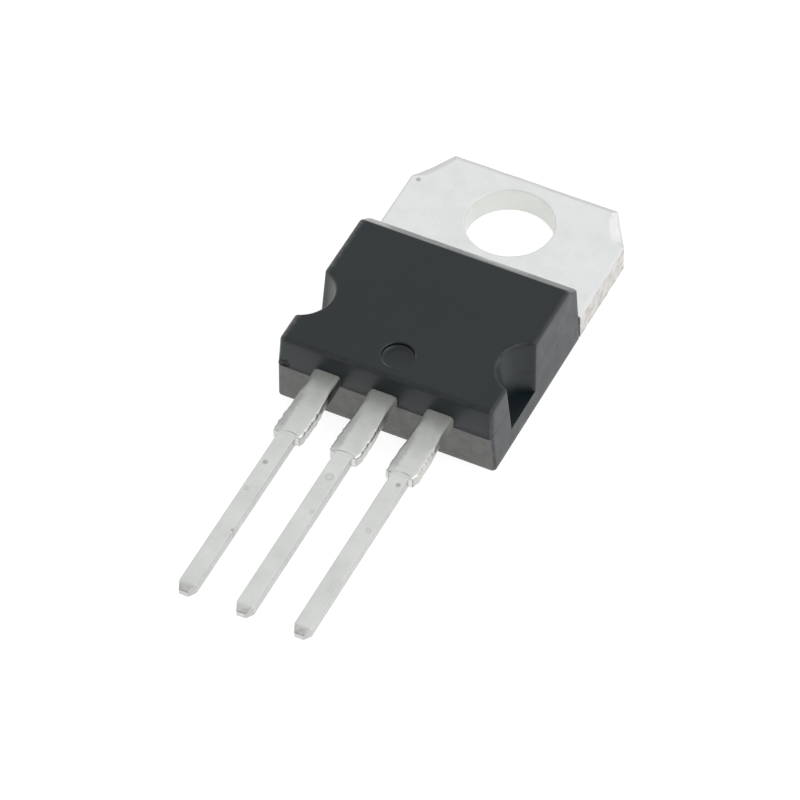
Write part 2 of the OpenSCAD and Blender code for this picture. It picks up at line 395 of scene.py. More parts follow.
def eject_room():
    """A turned cutter for the ejector pin's mark, with a round rim."""
    base = BODY_H - EJECT_D
    profile = [(EJECT_R - 0.14, base), (EJECT_R - 0.05, base + 0.015), (EJECT_R, base + 0.07)]
    for k in range(6):
        a = math.radians(18 * k)
        profile.append((EJECT_R + RIM_R * (1 - math.cos(a)), BODY_H - RIM_R + RIM_R * math.sin(a)))
    profile.append((EJECT_R + RIM_R, BODY_H + 0.2))
    bm = bmesh.new()
    rows = loft(bm, [circle(radius, z, 96, (0.0, EJECT_MIDDLE_Y)) for radius, z in profile])
    bm.faces.new(rows[0])
    bm.faces.new(rows[-1])
    return new_object("eject_room", bm)


def scar_room():
    """A block with a torn inner face, for the scar that the mould's gate left."""
    columns, levels = 24, 18
    left = -BODY_HALF - SCAR_PAST
    bm = bmesh.new()
    grid = []
    for j in range(levels + 1):
        row = []
        for i in range(columns + 1):
            u, v = i / columns, j / levels
            x = left + u * (SCAR_W + SCAR_PAST)
            z = PARTING_Z + 0.02 + v * SCAR_H * (1.0 - 0.35 * u)
            deep = SCAR_D * (1 - u ** 3) * (1 - 0.6 * abs(2 * v - 1) ** 4)
            deep += wobble((x, 0, z), 0.16, 0.06, 9) + wobble((x, 0, z), 0.05, 0.025, 4)
            row.append(bm.verts.new((x, FRONT_Y + max(deep, -0.02 * (x - left)), z)))
        grid.append(row)
    for low, high in zip(grid, grid[1:]):
        for i in range(columns):
            bm.faces.new((low[i], low[i + 1], high[i + 1], high[i]))
    pulled = bmesh.ops.extrude_face_region(bm, geom=list(bm.faces))["geom"]
    for item in pulled:
        if isinstance(item, bmesh.types.BMVert):
            item.co.y = FRONT_Y - 0.4
    return new_object("scar_room", bm)


def make_mould():
    mould = mould_block()
    carve(mould, [slab_room(), eject_room(), scar_room()])
    even_shading(mould)
    return mould


# ---- the tab and the slab's bare underside ----

# How far the rough fracture stands in from the edges and from the bore
FRACTURE = 0.02
BORE_FRACTURE = 0.012
HOLE_ROLL = 0.015
HOLE_STEPS = 96
# Width of the flat strip that frames each large face, so that the round edges shade evenly
FRAME = 0.08
# Width and drop of the rolled edge along the sides, the free end, the -X and the +X cut corner
ROLLS = ((0.08, 0.04), (0.26, 0.11), (0.36, 0.15), (0.5, 0.15))
# A rolled edge's profile as shares of its width and drop
ROLL_PROFILE = (
    (0.0, 1.0), (0.04, 0.66), (0.12, 0.48), (0.4, 0.31), (0.7, 0.145), (0.9, 0.04), (1.0, 0.0),
)
# (height, inset, share of the rough fracture) up a sheared edge, as far as its rolled top
SHEAR_LEVELS = (
    (0.0, 0.0, 0.3), (0.03, -0.006, 0.6),
    *((0.03 + 0.09 * k, 0.004, 1.0) for k in range(1, 8)),
    (0.72, 0.002, 0.4), (0.8, 0.0, 0.15), (0.95, 0.0, 0.1),
)


def tab_outline(inset):
    """The outline of the tab and the slab's underside, which widens just inside the moulding."""
    slab_y = REAR_Y - 0.04
    corners = [
        (SLAB_HALF, slab_y, 0.02),
        (TAB_HALF, slab_y, 0.02),
        (TAB_HALF, END_Y - CORNER_Y, 0.22),
        (TAB_HALF - CORNER_X, END_Y, 0.15),
        (-TAB_HALF + CORNER_X, END_Y, 0.15),
        (-TAB_HALF, END_Y - CORNER_Y, 0.22),
        (-TAB_HALF, slab_y, 0.02),
        (-SLAB_HALF, slab_y, 0.02),
        (-SLAB_HALF, SLAB_FRONT, 0.1),
        (SLAB_HALF, SLAB_FRONT, 0.1),
    ]
    return rounded_outline(corners, inset)


def by_edge(p, side, free, left, right):
    """Blends the values of the sides, the free end and the two cut corners at a point p."""
    end = smooth_step(END_Y - 0.45, END_Y - 0.02, p.y)
    corner = smooth_step(END_Y - CORNER_Y - 0.05, END_Y - CORNER_Y + 0.5, p.y) * (1 - end)
    cut = right if p.x > 0 else left
    return side * (1 - end - corner) + free * end + cut * corner


def rolled_outline(share, step=0.0):
    """The tab's outline moved inwards by a share of the rolled edge's width, and by step more."""
    kinds = [tab_outline(share * width + step) for width, _ in ROLLS]
    return [by_edge(*places) for places in zip(tab_outline(0.0), *kinds)]


def make_tab():
    outer, inner = [], []
    base = tab_outline(0.0)
    inward = [(q - p) / 0.02 for p, q in zip(base, tab_outline(0.02))]
    for z, inset, rough in SHEAR_LEVELS:
        ring = []
        for p, d in zip(base, inward):
            # The fracture is roughest along the sides, beside the moulding
            torn = 1.0 + 1.2 * smooth_step(0.4, -0.6, p.y) * smooth_step(4.6, 4.9, abs(p.x))
            bumps = 0.5 + wobble((p.x, p.y, z * 0.4), 0.22, 0.9, 5)
            point = p + d * max(-0.012, min(0.05, inset + FRACTURE * torn * rough * bumps))
            ring.append(Vector((point.x, point.y, z)))
        outer.append(ring)
        ring = []
        for p in circle(HOLE_R + inset, z, HOLE_STEPS):
            amount = BORE_FRACTURE * rough * (0.5 + wobble(p, 0.2, 0.9, 8))
            radial = Vector((p.x, p.y, 0)).normalized()
            ring.append(p + radial * amount)
        inner.append(ring)
    drops = [drop for _, drop in ROLLS]
    for share, drop in ROLL_PROFILE:
        ring = []
        for p, q in zip(base, rolled_outline(share)):
            deep = by_edge(p, *drops) * (1 + wobble((p.x, p.y, 0), 0.5, 0.3, 6))
            ring.append(Vector((q.x, q.y, TAB_T - drop * deep)))
        outer.append(ring)
        inner.append(circle(HOLE_R + HOLE_ROLL * share, TAB_T - HOLE_ROLL * drop, HOLE_STEPS))
    outer.insert(0, [Vector((p.x, p.y, 0.0)) for p in tab_outline(FRAME)])
    outer.append([Vector((p.x, p.y, TAB_T)) for p in rolled_outline(1.0, FRAME)])
    inner.insert(0, circle(HOLE_R + FRAME, 0.0, HOLE_STEPS))
    inner.append(circle(HOLE_R + HOLE_ROLL + FRAME, TAB_T, HOLE_STEPS))
    bm = bmesh.new()
    out_rows = loft(bm, outer)
    in_rows = loft(bm, inner)
    fill(bm, out_rows[0], in_rows[0])
    fill(bm, out_rows[-1], in_rows[-1])
    tab = new_object("tab", bm, TAB_SHARP_ANGLE)
    even_shading(tab)
    return tab


# ---- leads ----

# Radius of a lead's lower edges
LOWER_R = 0.04
LOWER_STEPS = 5
ROLL_STEPS = 6
# Where the dam bar's torn part starts, seen from the stubs' end
DAM_LEN = 1.9


def lead_section(x, y, left, right, low, high, roll_left, roll_right, drop_left, drop_right):
    """A lead's section at y: rolled upper edges and small round lower ones, seen from the tip."""
    west, east = x - left, x + right
    lower = [math.pi / 2 * k / LOWER_STEPS for k in range(LOWER_STEPS + 1)]
    ring = []
    for a in reversed(lower):
        ring.append((west + LOWER_R * (1 - math.sin(a)), low + LOWER_R * (1 - math.cos(a))))
    for k in range(1, 6):
        ring.append((west + LOWER_R + (left + right - 2 * LOWER_R) * k / 6, low))
    for a in lower:
        ring.append((east - LOWER_R * (1 - math.sin(a)), low + LOWER_R * (1 - math.cos(a))))
    ring.append((east, (low + high - drop_right) / 2))
    for k in range(ROLL_STEPS + 1):
        a = math.pi / 2 * k / ROLL_STEPS
        ring.append((east - roll_right * (1 - math.cos(a)), high - drop_right * (1 - math.sin(a))))
    top_left, top_right = west + roll_left, east - roll_right
    for k in range(1, 8):
        ring.append((top_right + (top_left - top_right) * k / 8, high))
    for k in range(ROLL_STEPS + 1):
        a = math.pi / 2 * (1 - k / ROLL_STEPS)
        ring.append((west + roll_left * (1 - math.cos(a)), high - drop_left * (1 - math.sin(a))))
    ring.append((west, (low + high - drop_left) / 2))
    return [Vector((px, y, pz)) for px, pz in ring]


def lead_places():
    """Where along Y a lead has its sections, from inside the moulding to the tip."""
    places = []
    y = FRONT_Y + 0.55
    for stop, step in ((STUB_Y + 2.4, 0.16), (STUB_Y - 0.35, 0.035), (TIP_Y + TIP_LEN, 0.16)):
        while y > stop:
            places.append(y)
            y -= step
    return places + [TIP_Y + TIP_LEN * (1 - k / 8) for k in range(9)]


def lead_ring(middle, y, seed):
    """A lead's section at y, with the dam bar's torn stubs and a sheared right edge."""
    # How far the section belongs to the wide part, to the torn stubs and to the root
    wide = smooth_step(STUB_Y - 0.02, STUB_Y + 0.05, y)
    wide_right = 0.65 * wide + 0.35 * smooth_step(STUB_Y - 0.02, STUB_Y + 0.4, y)
    left_end = STUB_Y + wobble((seed, 0, 0), 1, 0.08)
    wide_left = smooth_step(left_end - 0.02, left_end + 0.06, y)
    torn = smooth_step(STUB_Y + DAM_LEN + 0.3, STUB_Y + DAM_LEN - 0.3, y) * wide
    torn_left = smooth_step(STUB_Y + 2.3, STUB_Y + 0.6, y) * wide_left
    root = smooth_step(FRONT_Y - 1.6, FRONT_Y - 0.5, y)
    jag = wobble((0, y, seed), 0.22, 0.036, seed) + wobble((0, y, seed), 0.08, 0.015, seed)
    jag_left = wobble((3, y, seed), 0.2, 0.05, seed + 5) + wobble((3, y, seed), 0.07, 0.028, seed)
    right = PIN_HALF + (ROOT_HALF - PIN_HALF) * wide_right + torn * wide_right * (0.06 + jag)
    left = PIN_HALF + (ROOT_HALF - PIN_HALF) * wide_left + torn_left * (0.05 + jag_left)
    roll_left = 0.04 + 0.2 * wide_left
    drop_left = 0.03 + 0.05 * wide_left
    roll_right = 0.035 + torn * (0.13 + 0.5 * jag) + 0.2 * root
    drop_right = 0.035 + torn * (0.10 + 0.4 * jag) + 0.12 * root
    # The tip narrows from all sides
    share = 1 - (1 - TIP_SHARE) * max(0.0, 1 - (y - TIP_Y) / TIP_LEN)
    left *= share
    right *= share
    lost = LEAD_T * (1 - share) / 2
    low = PARTING_Z + lost
    high = LEAD_TOP + 0.02 * wide - lost
    shrink = 1 - 0.3 * smooth_step(TIP_Y + TIP_LEN, TIP_Y, y)
    return lead_section(
        middle, y, left, right, low, high,
        min(roll_left * shrink, left * 0.8), min(roll_right * shrink, right * 0.8),
        drop_left * shrink, drop_right * shrink,
    )


def make_lead(name, middle, seed):
    bm = bmesh.new()
    rows = loft(bm, [lead_ring(middle, y, seed) for y in lead_places()])
    bm.faces.new(rows[0])
    # The tip ends in a small bevel
    last = rows[-1]
    centre = sum((v.co for v in last), Vector()) / len(last)
    inner = [bm.verts.new(centre + (v.co - centre) * 0.82 + Vector((0, -0.03, 0))) for v in last]
    for i in range(len(last)):
        j = (i + 1) % len(last)
        bm.faces.new((last[i], last[j], inner[j], inner[i]))
    bm.faces.new(inner)
    lead = new_object(name, bm, LEAD_SHARP_ANGLE)
    even_shading(lead)
    return lead


# ---- materials ----

# Linear colours of the moulding
EPOXY = ((0.0030, 0.0095, 0.0125), (0.0048, 0.0115, 0.0140))
EPOXY_FLECK = (0.030, 0.031, 0.032)
EPOXY_WEAR_AND_LIGHT = (0.032, 0.034, 0.035)
EPOXY_WORN_UPRIGHT = (0.075, 0.077, 0.077)
EPOXY_SCUFFED = (0.125, 0.123, 0.121)
EPOXY_DUSTY = (0.030, 0.036, 0.037)
EPOXY_STRIPPED = ((0.104, 0.108, 0.100), (0.152, 0.156, 0.147))
EPOXY_FLASH_SHADOW = (0.004, 0.004, 0.004)
EPOXY_BEVEL_REFLECTION = (0.105, 0.115, 0.111)
EPOXY_RIM_HIGHLIGHT = (0.11, 0.115, 0.115)
# Painted highlights on the ejector mark's rim, as (x, y, radius) from the mark's middle in
# millimetres
RIM_HIGHLIGHTS = ((-0.25, -0.68, 0.3), (0.64, 0.26, 0.16))
# Linear colours of the metal
TAB_TIN = ((0.80, 0.82, 0.81), (0.75, 0.775, 0.765))
LEAD_TIN = ((0.70, 0.715, 0.70), (0.64, 0.655, 0.635))
SPECK = (0.30, 0.29, 0.27)
PIT = (0.16, 0.15, 0.13)
BORE_METAL = (0.60, 0.61, 0.565)
TARNISH = (0.69, 0.66, 0.69)
CUT_COPPER = (0.47, 0.44, 0.415)
DULL_TIN = (0.53, 0.545, 0.52)
CUT_METAL = (0.42, 0.425, 0.41)
TIP_METAL = (0.47, 0.47, 0.455)
ROLLED_EDGE_SHADE = (0.30, 0.305, 0.30)
RESIN_FILM = (0.19, 0.195, 0.19)
BARE_COPPER = (0.62, 0.50, 0.42)
CORNER_SHADE = (0.030, 0.029, 0.024)
PUNCHED_ARC = (0.16, 0.15, 0.14)
# Small pits in the metal, as (x, y, radius, whether clear in the middle) in millimetres
TAB_PITS = ((-4.58, 0.62, 0.14, False),)
GATE_PITS = ((-2.66, -17.43, 0.15, False), (-2.72, -19.0, 0.14, True), (-2.2, -21.2, 0.09, False))
DRAIN_PITS = ((0.02, -17.03, 0.24, True), (0.2, -18.97, 0.13, True))
SOURCE_PITS = ((2.68, -16.22, 0.14, False), (2.66, -18.89, 0.16, True))


class Nodes:
    """Short names for building a material's nodes. Each value is a socket, a number or a colour."""

    def __init__(self, name):
        self.material = bpy.data.materials.new(name)
        self.material.use_nodes = True
        self.tree = self.material.node_tree
        self.tree.nodes.clear()
        surface = self.add("ShaderNodeOutputMaterial").inputs["Surface"]
        self.shader = self.add("ShaderNodeBsdfPrincipled")
        self.link(self.shader.outputs[0], surface)
        self.place = self.add("ShaderNodeTexCoord").outputs["Object"]

    def add(self, kind, **values):
        node = self.tree.nodes.new(kind)
        for key, value in values.items():
            setattr(node, key, value)
        return node

    def link(self, a, b):
        self.tree.links.new(a, b)

    def feed(self, socket, value):
        if isinstance(value, (int, float)):
            socket.default_value = value
        elif isinstance(value, tuple):
            socket.default_value = (*value, 1.0)
        else:
            self.link(value, socket)

    def set(self, **values):
        """Feeds the shader, such as Base_Color=colour."""
        for key, value in values.items():
            self.feed(self.shader.inputs[key.replace("_", " ")], value)

    def base_colour(self):
        return self.shader.inputs["Base Color"].links[0].from_socket

    def math(self, operation, a, b):
        node = self.add("ShaderNodeMath", operation=operation)
        self.feed(node.inputs[0], a)
        self.feed(node.inputs[1], b)
        return node.outputs[0]

    def times(self, *values):
        product = values[0]
        for value in values[1:]:
            product = self.math("MULTIPLY", product, value)
        return product

    def plus(self, a, b):
        return self.math("ADD", a, b)

    def minus(self, a, b):
        return self.math("SUBTRACT", a, b)

    def absolute(self, value):
        return self.math("ABSOLUTE", value, 0.0)

    def mix(self, factor, a, b):
        node = self.add("ShaderNodeMix", data_type="RGBA")
        self.feed(node.inputs[0], factor)
        self.feed(node.inputs[6], a)
        self.feed(node.inputs[7], b)
        return node.outputs[2]

    def remap(self, value, a, b, c=0.0, d=1.0):
        """Turns a to b into c to d, and stays at c or d beyond them."""
        node = self.add("ShaderNodeMapRange")
        self.link(value, node.inputs["Value"])
        for key, number in zip(("From Min", "From Max", "To Min", "To Max"), (a, b, c, d)):
            node.inputs[key].default_value = number
        return node.outputs["Result"]

    def span(self, value, a, b, c=0.0, d=1.0):
        """The same for a value in metres, with a and b in millimetres."""
        return self.remap(value, a * MM, b * MM, c, d)

    def sized_place(self, size_mm, stretch):
        node = self.add("ShaderNodeVectorMath", operation="MULTIPLY")
        self.link(self.place, node.inputs[0])
        factor = 1.0 / (size_mm * MM)
        node.inputs[1].default_value = [factor / s for s in stretch]
        return node.outputs[0]

    def noise(self, size_mm, detail=3.0, rough=0.55, stretch=(1, 1, 1)):
        node = self.add("ShaderNodeTexNoise")
        node.inputs["Scale"].default_value = 1.0
        node.inputs["Detail"].default_value = detail
        node.inputs["Roughness"].default_value = rough
        self.link(self.sized_place(size_mm, stretch), node.inputs["Vector"])
        return node.outputs["Fac"]

    def cells(self, size_mm):
        """The distance to the nearest of many scattered points, as a share of the size."""
        node = self.add("ShaderNodeTexVoronoi", feature="F1")
        node.inputs["Scale"].default_value = 1.0
        self.link(self.sized_place(size_mm, (1, 1, 1)), node.inputs["Vector"])
        return node.outputs["Distance"]

    def axis(self, index):
        node = self.add("ShaderNodeSeparateXYZ")
        self.link(self.place, node.inputs[0])
        return node.outputs[index]

    def ragged_x(self, reach_mm, size_mm, detail):
        """The place along X, which strays by reach_mm so that a mask's border isn't straight."""
        stray = self.remap(self.noise(size_mm, detail), 0.3, 0.7, -reach_mm * MM, reach_mm * MM)
        return self.plus(self.axis(0), stray)

    def normal_axis(self, index):
        geometry = self.add("ShaderNodeNewGeometry")
        node = self.add("ShaderNodeSeparateXYZ")
        self.link(geometry.outputs["Normal"], node.inputs[0])
        return node.outputs[index]

    def near(self, x, y):
        """The distance in millimetres from the upright line through x, y."""
        flat = self.add("ShaderNodeVectorMath", operation="MULTIPLY_ADD")
        self.link(self.place, flat.inputs[0])
        flat.inputs[1].default_value = (1 / MM, 1 / MM, 0.0)
        flat.inputs[2].default_value = (-x, -y, 0.0)
        length = self.add("ShaderNodeVectorMath", operation="LENGTH")
        self.link(flat.outputs[0], length.inputs[0])
        return length.outputs["Value"]

    def bump(self, height, strength, distance_mm, normal=None):
        node = self.add("ShaderNodeBump")
        node.inputs["Strength"].default_value = strength
        node.inputs["Distance"].default_value = distance_mm * MM
        self.link(height, node.inputs["Height"])
        if normal is not None:
            self.link(normal, node.inputs["Normal"])
        return node.outputs["Normal"]


def epoxy():
    n = Nodes("mould_epoxy")
    height, facing_y, facing_z = n.axis(2), n.normal_axis(1), n.normal_axis(2)
    facing_front = n.remap(facing_y, -0.6, -0.9)
    fleck = n.noise(0.045, 2.0, 0.5)
    blotch = n.noise(0.45, 4.0, 0.65)
    colour = n.mix(n.remap(n.noise(4.0, 2.0), 0.35, 0.65), *EPOXY)
    colour = n.mix(n.remap(fleck, 0.62, 0.8, 0.0, 0.35), colour, EPOXY_FLECK)
    # Wear on the round upper edges, apart from the one behind, made paler still as painted light
    # that hides the dark line these edges shade to
    wear_and_painted_light = n.times(
        n.remap(facing_z, 0.25, 0.5),
        n.remap(facing_z, 0.97, 0.85),
        n.remap(facing_y, 0.6, 0.45),
        n.remap(n.noise(0.5, 4.0), 0.35, 0.65, 0.45, 0.95),
    )
    colour = n.mix(wear_and_painted_light, colour, EPOXY_WEAR_AND_LIGHT)
    # The top's -X edge is scuffed along its whole length
    scuffed = n.times(
        n.span(n.ragged_x(0.06, 0.3, 4.0), -4.48, -4.72),
        n.remap(facing_z, 0.25, 0.5),
        n.remap(n.noise(0.14, 4.0, 0.7), 0.36, 0.6, 0.45, 1.0),
    )
    colour = n.mix(scuffed, colour, EPOXY_SCUFFED)
    # Wear on the upright edges at the four corners
    half_length = (REAR_Y - FRONT_Y) / 2
    from_middle = n.absolute(n.minus(n.axis(1), (FRONT_Y + REAR_Y) / 2 * MM))
    upright = n.times(
        n.remap(n.absolute(n.normal_axis(0)), 0.3, 0.6),
        n.remap(n.absolute(facing_y), 0.3, 0.6),
        n.span(from_middle, half_length - 0.7, half_length - 0.4, 0.0, 0.8),
        n.remap(n.noise(0.4, 3.0), 0.4, 0.6, 0.3, 1.0),
    )
    colour = n.mix(upright, colour, EPOXY_WORN_UPRIGHT)
    # The front above the parting line is dusty, most of all low down
    dusty = n.times(
        facing_front,
        n.span(height, PARTING_Z + 0.3, BODY_H, 1.0, 0.3),
        n.remap(n.noise(1.4, 3.0), 0.35, 0.65, 0.3, 0.9),
    )
    colour = n.mix(dusty, colour, EPOXY_DUSTY)
    # Below it the front was stripped of flash between the leads, which left it pale and rough
    stripped = n.times(
        n.span(height, PARTING_Z + 0.02, PARTING_Z - 0.02),
        facing_front,
        n.span(n.axis(1), FRONT_Y + 0.4, FRONT_Y + 0.3),
    )
    colour = n.mix(stripped, colour, n.mix(n.remap(blotch, 0.3, 0.7), *EPOXY_STRIPPED))
    # Painted shadow in the corner under the front's flash
    from_corner = n.absolute(n.minus(height, (PARTING_Z - 0.02) * MM))
    flash_shadow = n.times(
        n.span(from_corner, 0.02, 0.06, 1.0, 0.0), n.remap(facing_y, -0.3, -0.6, 0.0, 0.7)
    )
    colour = n.mix(flash_shadow, colour, EPOXY_FLASH_SHADOW)
    # The bevel behind is smoother, and painted pale as a reflection of the light behind it, most of
    # all towards -X
    bevel = n.times(n.remap(facing_y, 0.35, 0.55), n.remap(facing_z, 0.3, 0.5))
    streak = n.remap(n.noise(0.12, 4.0, 0.7, (9.0, 1.0, 1.0)), 0.36, 0.6, 0.4, 1.0)
    bevel_reflection = n.times(bevel, n.span(n.axis(0), BODY_HALF, -BODY_HALF, 0.7, 0.95), streak)
    colour = n.mix(bevel_reflection, colour, EPOXY_BEVEL_REFLECTION)
    # Painted highlights on the rim of the ejector's mark, where its lip catches the light
    rim = n.absolute(n.minus(n.near(0.0, EJECT_MIDDLE_Y), EJECT_R + 0.03))
    rim = n.remap(rim, 0.02, 0.07, 1.0, 0.0)
    for x, y, radius in RIM_HIGHLIGHTS:
        close = n.remap(n.near(x, EJECT_MIDDLE_Y + y), 0.3 * radius, radius, 0.6, 0.0)
        colour = n.mix(n.times(rim, close), colour, EPOXY_RIM_HIGHLIGHT)
    rough = n.remap(n.noise(0.7, 3.0), 0.3, 0.7, 0.34, 0.42)
    rough = n.plus(rough, n.times(stripped, 0.2))
    rough = n.minus(rough, n.times(bevel, streak, 0.2))
    # The mould's fine sparked texture, and pits in the stripped face
    normal = n.bump(n.noise(0.11, 4.0, 0.6), 0.22, 0.012)
    normal = n.bump(fleck, 0.18, 0.006, normal)
    normal = n.bump(n.times(blotch, stripped), 0.5, 0.05, normal)
    n.set(Base_Color=colour, Roughness=rough, IOR=1.43, Normal=normal)
    return n.material


def tinned(name, light, dark, pits):
    """Tin plating with soft clouds, specks, a faint grain along the strip and the given pits."""
    n = Nodes(name)
    cloud = n.noise(1.1, 4.0, 0.6)
    drag = n.noise(0.12, 3.0, 0.6, (1.0, 10.0, 1.0))
    colour = n.mix(n.remap(cloud, 0.35, 0.66), light, dark)
    colour = n.mix(n.remap(drag, 0.56, 0.75, 0.0, 0.16), colour, tuple(0.75 * c for c in dark))
    specks = n.times(
        n.remap(n.cells(0.7), 0.0, 0.07, 1.0, 0.0), n.remap(n.noise(0.9, 2.0), 0.57, 0.66, 0.0, 0.5)
    )
    colour = n.mix(specks, colour, SPECK)
    rough = n.plus(n.remap(cloud, 0.3, 0.7, 0.30, 0.40), n.remap(drag, 0.4, 0.7, -0.02, 0.05))
    normal = n.bump(n.noise(0.09, 4.0, 0.65), 0.18, 0.008)
    normal = n.bump(drag, 0.12, 0.01, normal)
    normal = n.bump(n.noise(1.6, 2.0), 0.2, 0.03, normal)
    for x, y, radius, clear in pits:
        pit = n.remap(n.near(x, y), radius * 0.5, radius, 1.0, 0.0)
        if clear:
            middle = n.remap(n.near(x, y), radius * 0.2, radius * 0.6, 1.0, 0.0)
            shade = n.times(n.minus(pit, middle), 0.3)
        else:
            shade = n.times(pit, 0.5)
        colour = n.mix(shade, colour, PIT)
        normal = n.bump(pit, 0.5, -0.02, normal)
    n.set(Base_Color=colour, Metallic=1.0, Roughness=rough, Normal=normal)
    return n


def tab_metal():
    n = tinned("tab_metal", *TAB_TIN, TAB_PITS)
    facing_z = n.normal_axis(2)
    side = n.remap(facing_z, 0.8, 0.45)
    # The bore's wall is a little darker than the top
    bore = n.times(n.remap(n.near(0.0, 0.0), HOLE_R + 0.05, HOLE_R + 0.1, 0.6, 0.0), side)
    colour = n.mix(bore, n.base_colour(), BORE_METAL)
    # The rolled edges have tarnished a little
    tilted = n.times(
        n.remap(facing_z, 0.996, 0.97, 0.0, 0.7), n.remap(facing_z, 0.6, 0.8)
    )
    colour = n.mix(tilted, colour, TARNISH)
    # The strip between neighbours was cut at the tab's sides, where the copper shows
    copper = n.times(
        side,
        n.span(n.absolute(n.axis(0)), TAB_HALF - 0.16, TAB_HALF - 0.05),
        n.remap(n.noise(0.45, 4.0), 0.36, 0.62, 0.45, 1.0),
    )
    n.set(Base_Color=n.mix(copper, colour, CUT_COPPER))
    return n.material


def lead_metal(name, middle, pits, corner_shade_strength):
    n = tinned(name, *LEAD_TIN, pits)
    along, facing_x = n.axis(1), n.normal_axis(0)
    wide = n.span(along, STUB_Y - 0.1, STUB_Y + 0.5)
    # The wide roots are duller than the pins
    dull = n.times(
        wide,
        n.remap(n.noise(0.6, 4.0), 0.3, 0.7, 0.55, 1.0),
        n.span(along, STUB_Y + 0.6, FRONT_Y - 1.5, 0.55, 1.0),
    )
    colour = n.mix(dull, n.base_colour(), DULL_TIN)
    # The pins' sides and tips were cut after plating and are greyer
    cut = n.times(
        n.remap(n.absolute(facing_x), 0.4, 0.8, 0.0, 0.7),
        n.remap(wide, 0.0, 1.0, 1.0, 0.3),
        n.remap(n.noise(0.3, 4.0), 0.35, 0.6, 0.78, 1.0),
    )
    colour = n.mix(cut, colour, CUT_METAL)
    tip = n.times(
        n.span(along, TIP_Y + 0.36, TIP_Y + 0.2), n.remap(n.noise(0.2, 4.0), 0.35, 0.65, 0.25, 1.0)
    )
    colour = n.mix(tip, colour, TIP_METAL)
    # Painted shade in a band along the wide part's rolled -X edge
    rolled_edge_shade = n.times(
        n.span(n.ragged_x(0.05, 0.2, 3.0), middle - 0.38, middle - 0.24, 0.55, 0.0),
        wide,
        n.span(along, FRONT_Y - 1.1, FRONT_Y - 1.7),
    )
    colour = n.mix(rolled_edge_shade, colour, ROLLED_EDGE_SHADE)
    # A thin film of resin bled onto the root
    film = n.times(
        n.span(along, FRONT_Y - 2.7, FRONT_Y - 0.9, 0.0, 0.34),
        n.remap(n.noise(0.3, 3.0), 0.3, 0.7, 0.8, 1.0),
    )
    colour = n.mix(film, colour, RESIN_FILM)
    n.set(Metallic=n.span(along, FRONT_Y - 1.1, FRONT_Y - 0.15, 1.0, 0.3))
    # Copper shows in patches on the wide part's +X side
    copper = n.times(
        wide, n.remap(facing_x, 0.4, 0.8), n.remap(n.noise(0.3, 3.0), 0.52, 0.7, 0.0, 0.6)
    )
    colour = n.mix(copper, colour, BARE_COPPER)
    # Painted shade in the corner between the root's +X side and the moulding
    corner = n.times(
        n.remap(facing_x, 0.5, 0.8, 0.0, corner_shade_strength), n.span(along, FRONT_Y - 1.4, FRONT_Y - 1.1)
    )
    colour = n.mix(corner, colour, CORNER_SHADE)
    # The dam bar's punch left an arc across the strip
    from_arc = n.absolute(n.minus(n.near(middle + 0.04, STUB_Y - 0.78), 0.97))
    arc = n.times(
        n.remap(from_arc, 0.012, 0.045, 0.55, 0.0),
        n.span(along, STUB_Y - 0.2, STUB_Y - 0.1),
        n.remap(n.noise(0.5, 2.0), 0.4, 0.55, 0.3, 1.0),
    )
    n.set(Base_Color=n.mix(arc, colour, PUNCHED_ARC))
    return n.material


def bare_metal(name, light, dark, roughness):
    n = Nodes(name)
    cloud = n.noise(0.4, 4.0, 0.6)
    n.set(Base_Color=n.mix(n.remap(cloud, 0.35, 0.65), light, dark), Metallic=1.0)
    n.set(Roughness=n.remap(cloud, 0.3, 0.7, roughness - 0.06, roughness + 0.08))
    n.set(Normal=n.bump(n.noise(0.05, 3.0), 0.2, 0.004))
    return n.material


def silicon():
    """Bare grey silicon with a striped metal layer on its top."""
    n = Nodes("silicon")
    stripes = n.noise(0.09, 1.0, 0.4, (1.0, 60.0, 1.0))
    top = n.remap(n.normal_axis(2), 0.5, 0.9)
    layer = n.mix(n.remap(stripes, 0.45, 0.55), (0.62, 0.63, 0.66), (0.46, 0.47, 0.51))
    n.set(Base_Color=n.mix(top, (0.06, 0.065, 0.075), layer))
    n.set(Metallic=n.times(top, 0.9), Roughness=0.32, Normal=n.bump(stripes, 0.15, 0.004))
    return n.material


def dress(obj, material):
    obj.data.materials.clear()
    obj.data.materials.append(material)


# ---- the pieces ----

moulding = make_mould()
dress(moulding, epoxy())
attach(moulding, "root")
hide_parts("mould_body")

tab = make_tab()
dress(tab, tab_metal())
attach(tab, "root")
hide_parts("drain_frame")

# The last number in each row is how strong the painted shade is in the corner beside the lead's
# root
for lead_name, lead_x, lead_seed, lead_node, lead_pits, lead_corner_shade in (
    ("lead_gate", -PITCH, 2.3, "gate_lead", GATE_PITS, 0.9),
    ("lead_drain", 0.0, 7.1, "drain_frame", DRAIN_PITS, 0.25),
    ("lead_source", PITCH, 12.9, "source_lead", SOURCE_PITS, 0.2),
):
    lead = make_lead(lead_name, lead_x, lead_seed)
    dress(lead, lead_metal(lead_name, lead_x, lead_pits, lead_corner_shade))
    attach(lead, "root")
    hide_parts(lead_node)

wire_material = bare_metal("aluminium_wire", (0.82, 0.83, 0.85), (0.72, 0.73, 0.76), 0.3)
solder_material = bare_metal("die_solder", (0.60, 0.61, 0.63), (0.47, 0.48, 0.50), 0.42)
for node_name, node_material in (
    ("silicon_die", silicon()),
    ("die_solder", solder_material),
    ("gate_wire", wire_material),
    ("source_wire_inner", wire_material),
    ("source_wire_outer", wire_material),
):
    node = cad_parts[node_name]
    for material_slot in node.material_slots:
        material_slot.material = node_material

# ---- floor ----

